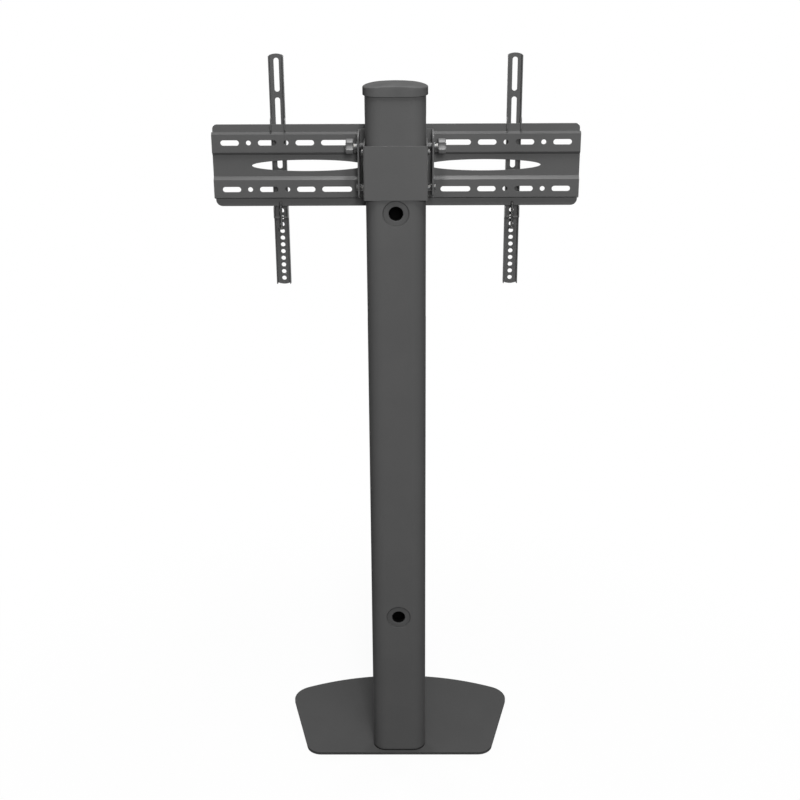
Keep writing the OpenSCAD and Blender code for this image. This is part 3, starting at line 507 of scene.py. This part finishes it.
def crown_height(x):
    """Height of the crown over a place in X, an arc under the apex: the apex less the radius,
    plus the root of the radius's square less the place's square."""
    return CAP_APEX_Z - CAP_CROWN_R + np.sqrt(CAP_CROWN_R ** 2 - x ** 2)


def oval_directions():
    """The middle line's point and the outward direction at each place round a flat oval: half
    a turn about each end, and straight runs between them."""
    turn = np.radians(np.linspace(-90, 90, CAP_ROUND_STEPS))
    run = np.linspace(CAP_HALF_FLAT, -CAP_HALF_FLAT, CAP_FLAT_STEPS)[1:-1]
    zero, one = np.zeros_like(run), np.ones_like(run)
    ends = np.full_like(turn, CAP_HALF_FLAT)
    middle = np.concatenate([ends, run, -ends, -run])
    out_x = np.concatenate([np.cos(turn), zero, -np.cos(turn), zero])
    out_y = np.concatenate([np.sin(turn), one, -np.sin(turn), -one])
    return middle, out_x, out_y


def cap_section():
    """Reach and height of each row under the rim: from the middle of the underside down the
    plug's inner face and up its outer one, then down inside the skirt, round its lip and up
    the outer wall."""
    inside = np.array([
        [0, CAP_SEAT_Z], [CAP_PLUG_IN, CAP_SEAT_Z], [CAP_PLUG_IN, CAP_PLUG_Z],
        [CAP_PLUG_IN + CAP_EDGE, CAP_PLUG_Z], [CAP_PLUG_OUT - CAP_PLUG_TAPER, CAP_PLUG_Z],
        [CAP_PLUG_OUT, CAP_PLUG_Z + CAP_PLUG_TAPER_H], [CAP_PLUG_OUT, CAP_SEAT_Z],
        [CAP_SKIRT_IN, CAP_SEAT_Z], [CAP_SKIRT_IN, CAP_SKIRT_Z + CAP_EDGE],
        [CAP_SKIRT_IN + CAP_EDGE, CAP_SKIRT_Z]])
    lip = arc((CAP_REACH - CAP_LIP_R, CAP_SKIRT_Z + CAP_LIP_R), CAP_LIP_R, -90, 0,
              CAP_LIP_STEPS)
    wall_z = np.linspace(*CAP_WALL_Z, CAP_WALL_STEPS)
    wall = np.stack([np.full_like(wall_z, CAP_REACH), wall_z], axis=1)
    return np.concatenate([inside, lip, wall])


def cap_grid():
    """Carries the cap's section round the oval: X is the middle line's point plus the reach
    times the outward direction, and Y the reach times it. Rows under the rim keep one height.
    The rim's rows turn by a quarter about a centre that lies the rim's radius under the crown,
    and the top's rows lie on the crown, closing in to the middle line."""
    middle, out_x, out_y = oval_directions()
    section = cap_section()
    rim_reach = CAP_REACH - CAP_RIM_R
    rim_turn = np.radians(np.linspace(0, 90, CAP_RIM_STEPS))
    top_turn = np.radians(np.linspace(0, 90, CAP_TOP_STEPS)[1:])
    reach = np.concatenate([section[:, 0], rim_reach + CAP_RIM_R * np.cos(rim_turn),
                            rim_reach * np.cos(top_turn)])[:, None]
    x = middle + reach * out_x
    y = reach * out_y
    under_rim = np.broadcast_to(section[:, 1:], (len(section), len(middle)))
    rim_centre = crown_height(middle + rim_reach * out_x) - CAP_RIM_R
    rim = rim_centre + CAP_RIM_R * np.sin(rim_turn)[:, None]
    top = crown_height(x[-len(top_turn):])
    return np.stack([x, y, np.concatenate([under_rim, rim, top])], axis=-1) * MM


skin("cap_crown", cap_grid(), "cap_plastic", "stand", "top_cap")


# Tilt knobs: four lobes whose edges are rounded all the way round, and a plug in the face

KNOB_X, KNOB_Y, KNOB_Z = 75.7, 39.0, 1269.0
KNOB_R, KNOB_VALLEY_R, KNOB_HUB_R = 14.8, 11.0, 8.2
KNOB_W, KNOB_DOME = 14.9, 1.0
KNOB_EDGE_R, KNOB_EDGE_STEPS = 2.2, 8
KNOB_TURN = math.radians(34)
KNOB_LOBES = 4
KNOB_HALF_SCALLOP = math.radians(25)
KNOB_BLEND = 0.9
KNOB_BORE_R, KNOB_BORE_L, KNOB_BORE_EDGE = 5.45, 11.4, 0.4
KNOB_STEPS = 144
# Radii and rises of the face above its rounded edge: a low dome, the groove round the plug and
# the plug
KNOB_FACE = ((10.6, 0.3), (8.6, 0.55), (7.6, 0.65), (7.3, 0.6), (7.15, 0.25), (6.85, 0.2),
             (6.6, 0.3), (6.45, 0.75), (6.1, 0.85), (4.0, 0.95), (2.0, 0.99), (0.0, KNOB_DOME))


def lobed_radius(angle):
    """Radius of the star: the nearer of the round outline and the hollow arcs that cut it, less
    a quarter of the blend times the square of their closeness, which is 1 where they meet and 0
    where they are the blend apart. A hollow arc's centre lies outside the knob, over the middle
    of its valley, and the arc meets the outline half a scallop to each side."""
    sag = KNOB_R * math.cos(KNOB_HALF_SCALLOP) - KNOB_VALLEY_R
    hollow_r = ((KNOB_R * math.sin(KNOB_HALF_SCALLOP)) ** 2 + sag ** 2) / (2 * sag)
    centre = KNOB_VALLEY_R + hollow_r
    lobe = 2 * math.pi / KNOB_LOBES
    off = (angle % lobe) - lobe / 2
    under_root = np.clip(hollow_r ** 2 - (centre * np.sin(off)) ** 2, 0, None)
    hollow = np.where(under_root > 0, centre * np.cos(off) - np.sqrt(under_root), 2 * KNOB_R)
    closeness = np.clip((KNOB_BLEND - np.abs(hollow - KNOB_R)) / KNOB_BLEND, 0, 1)
    return np.minimum(hollow, KNOB_R) - closeness ** 2 * KNOB_BLEND / 4


def knob_grid(side):
    """Turns the knob's section about its stud: Y and Z are the stud's place plus the radius
    times the turned angle's cosine and sine, and X is the place along the stud. The radius is
    the section's plus a share of the star's radius less the knob's. The share rises from 0 at
    the hub to 1 where the rounded edge starts."""
    face = KNOB_W - KNOB_DOME
    edge_reach = KNOB_R - KNOB_EDGE_R
    bore = np.array([[0, KNOB_BORE_L], [KNOB_BORE_R, KNOB_BORE_L],
                     [KNOB_BORE_R, KNOB_BORE_EDGE], [KNOB_BORE_R + KNOB_BORE_EDGE, 0],
                     [KNOB_HUB_R, 0]])
    back = arc((edge_reach, KNOB_EDGE_R), KNOB_EDGE_R, -90, 0, KNOB_EDGE_STEPS)
    front = arc((edge_reach, face - KNOB_EDGE_R), KNOB_EDGE_R, 0, 90, KNOB_EDGE_STEPS)
    section = np.concatenate([bore, back, front, np.array(KNOB_FACE) + (0, face)])
    share = np.interp(section[:, 0], [KNOB_HUB_R, edge_reach], [0, 1])
    angle = np.linspace(0, 2 * math.pi, KNOB_STEPS, endpoint=False)
    radius = section[:, 0:1] + share[:, None] * (lobed_radius(angle) - KNOB_R)
    turn = angle + KNOB_TURN
    x = side * (KNOB_X + np.broadcast_to(section[:, 1:2], radius.shape))
    y = KNOB_Y + radius * np.cos(turn)
    z = KNOB_Z + radius * np.sin(turn)
    return np.stack([x, y, z], axis=-1) * MM


for side_name, side in SIDES:
    skin(side_name + "_star_knob", knob_grid(side), "knob_plastic", side_name + "_knob",
         side_name + "_tilt_knob")


# Lock screws: a pan head with a hexagon socket, and a rolled thread up to the plate's flange

LOCK_X, LOCK_Y = 213.3, 67.6
LOCK_HEAD_Z, LOCK_TIP_Z = 1108.1, 1159.5
LOCK_HEAD_R, LOCK_HEAD_H = 4.75, 4.0
LOCK_HEAD_ROUND_R, LOCK_HEAD_ROUND_STEPS, LOCK_HEAD_EDGE = 1.2, 7, 0.4
LOCK_SOCKET_R, LOCK_SOCKET_DEPTH, LOCK_SOCKET_EDGE = 2.3, 2.0, 0.2
LOCK_R, LOCK_TIP_EDGE, LOCK_RUN_OUT = 2.5, 0.55, 0.6
LOCK_PITCH, LOCK_PITCH_STEPS = 0.8, 6
LOCK_THREAD_DEPTH, LOCK_THREAD_SLOPE = 0.42, 2.3
LOCK_STEPS = 36


def hexagon(angle, radius):
    """Distance from the middle of a hexagon to its side, at each angle: the distance to the
    middle of a side over the cosine of the angle off it."""
    off = (angle % (math.pi / 3)) - math.pi / 6
    return radius * math.cos(math.pi / 6) / np.cos(off)


def lock_screw_grid(side):
    """Turns the screw's section about its axis, from the floor of its socket over its head and
    along its shank to its tip: X and Y are the axis's place plus the radius times the angle's
    cosine and sine. The phase is what height over pitch less angle over a turn has past a whole
    number. The groove of the thread has its full depth where the phase is a half, none where it
    is 0, and fades in over the first pitch."""
    angle = np.linspace(0, 2 * math.pi, LOCK_STEPS, endpoint=False)
    low, high = LOCK_HEAD_Z, LOCK_HEAD_Z + LOCK_HEAD_H
    socket = hexagon(angle, LOCK_SOCKET_R)
    socket_floor = low + LOCK_SOCKET_DEPTH
    inside = np.stack([0 * socket, socket, socket, socket + LOCK_SOCKET_EDGE])
    inside_z = [socket_floor, socket_floor, low + LOCK_SOCKET_EDGE, low]
    rounding = arc((LOCK_HEAD_R - LOCK_HEAD_ROUND_R, low + LOCK_HEAD_ROUND_R),
                   LOCK_HEAD_ROUND_R, -90, 0, LOCK_HEAD_ROUND_STEPS)
    head = np.concatenate([rounding, [[LOCK_HEAD_R, high - LOCK_HEAD_EDGE],
                                      [LOCK_HEAD_R - LOCK_HEAD_EDGE, high], [LOCK_R, high]]])
    shank_z = np.arange(high + LOCK_RUN_OUT, LOCK_TIP_Z - LOCK_RUN_OUT,
                        LOCK_PITCH / LOCK_PITCH_STEPS)
    phase = (shank_z[:, None] / LOCK_PITCH - angle / (2 * math.pi)) % 1
    fade = np.clip((shank_z - shank_z[0]) / LOCK_PITCH, 0, 1)[:, None]
    groove = np.clip(LOCK_THREAD_SLOPE * (0.5 - np.abs(phase - 0.5)), 0, 1) * fade
    shank = LOCK_R - LOCK_THREAD_DEPTH * groove
    tip = np.array([[LOCK_R - LOCK_TIP_EDGE, LOCK_TIP_Z], [0, LOCK_TIP_Z]])
    one = np.ones_like(angle)
    radius = np.concatenate([inside, np.outer(head[:, 0], one), shank,
                             np.outer(tip[:, 0], one)])
    height = np.concatenate([inside_z, head[:, 1], shank_z, tip[:, 1]])
    x = side * LOCK_X + radius * np.cos(angle)
    y = LOCK_Y + radius * np.sin(angle)
    z = np.broadcast_to(height[:, None], radius.shape)
    return np.stack([x, y, z], axis=-1) * MM


for side_name, side in SIDES:
    skin(side_name + "_locking_screw", lock_screw_grid(side), "bolt_along_z",
         side_name + "_hooked_arm", side_name + "_lock_screw")


# Studio: soft boxes behind and above the stand and on the television's side, a white floor and
# white surroundings

SOFT_BOXES = {
    "key_box": dict(place=(0.45, -3.9, 2.7), aim=(0, 0, 0.9), size=(0.6, 1.4), watts=112),
    "top_box": dict(place=(0.1, -0.7, 4.0), aim=(0, 0, 0.6), size=(0.6, 1.6), watts=90),
    "left_box": dict(place=(-1.9, 3.5, 1.2), aim=(0, 0, 0.8), size=(1.2, 1.6), watts=62),
    "right_box": dict(place=(1.9, 3.5, 1.2), aim=(0, 0, 0.8), size=(1.2, 1.6), watts=62),
}
# What the surroundings throw on things, as a share of the white that they show
LEVEL_AROUND = 0.01
# The floor's colour where it is looked at, and its colour for the light that it throws back
FLOOR_LEVEL_SEEN, FLOOR_LEVEL_THROWN = 0.9, 0.15
# The share of the shadow that the floor keeps near the stand, and the distances from the
# column between which it fades out
SHADOW_SHARE = 0.07
SHADOW_FULL, SHADOW_GONE = 0.45, 1.2
FLOOR_REACH = 8.0


def soft_lamp(name, place, aim, size, watts):
    """An oblong soft box at its place, turned towards its aim."""
    lamp = bpy.data.lights.new(name, "AREA")
    lamp.shape, lamp.size, lamp.size_y = "RECTANGLE", size[0], size[1]
    lamp.energy = watts
    box = bpy.data.objects.new(name, lamp)
    line = Vector(aim) - Vector(place)
    box.matrix_world = (Matrix.Translation(place)
                        @ line.to_track_quat("-Z", "Y").to_matrix().to_4x4())
    SCENE.collection.objects.link(box)


def looked_at(finish):
    """1 for what the camera sees and for what gloss, metal and glass show, and 0 for the light
    that falls on things."""
    camera = finish.node("LightPath", output="Is Camera Ray")
    glossy = finish.node("LightPath", output="Is Glossy Ray")
    through = finish.node("LightPath", output="Is Transmission Ray")
    return finish.larger(camera, finish.larger(glossy, through))


class Surroundings(Finish):
    """The world's own nodes, made as a finish is."""

    def __init__(self):
        world = bpy.data.worlds.new("studio")
        SCENE.world = world
        world.use_nodes = True
        self.tree = world.node_tree
        self.tree.nodes.clear()


def light_studio():
    """Lights the stand by the soft boxes. The surroundings are white where they are looked at,
    and throw only a low level of light on things."""
    for name, settings in SOFT_BOXES.items():
        soft_lamp(name, **settings)
    world = Surroundings()
    strength = LEVEL_AROUND + looked_at(world) * (1 - LEVEL_AROUND)
    light = world.node("Background", None, {"Color": grey(1.0), "Strength": strength})
    world.node("OutputWorld", None, {"Surface": light})


def lay_floor():
    """A wide white floor that keeps a part of the stand's shadow near the stand. The light
    that it throws back is less than white paper's, so that the stand keeps its shades."""
    finish = Finish("floor_white")
    away = finish.node("VectorMath", {"operation": "LENGTH"}, {0: finish.place()}, output="Value")
    seen = looked_at(finish)
    lightened = finish.step(away, SHADOW_FULL, SHADOW_GONE)
    shine = seen * (1 - SHADOW_SHARE + SHADOW_SHARE * lightened)
    matt = finish.node("BsdfDiffuse", None, {
        "Color": finish.blend(seen, grey(FLOOR_LEVEL_THROWN), grey(FLOOR_LEVEL_SEEN))})
    lit = finish.node("Emission", None, {"Color": grey(1.0), "Strength": 1.0})
    mixed = finish.node("MixShader", None, {0: shine, 1: matt, 2: lit})
    finish.node("OutputMaterial", None, {"Surface": mixed})
    mesh = bpy.data.meshes.new("floor")
    mesh.from_pydata([(-FLOOR_REACH, -FLOOR_REACH, 0), (FLOOR_REACH, -FLOOR_REACH, 0),
                      (FLOOR_REACH, FLOOR_REACH, 0), (-FLOOR_REACH, FLOOR_REACH, 0)],
                     [], [(0, 1, 2, 3)])
    mesh.materials.append(finish.material)
    floor = bpy.data.objects.new("floor", mesh)
    SCENE.collection.objects.link(floor)


light_studio()
lay_floor()
SCENE.view_settings.view_transform = "Standard"
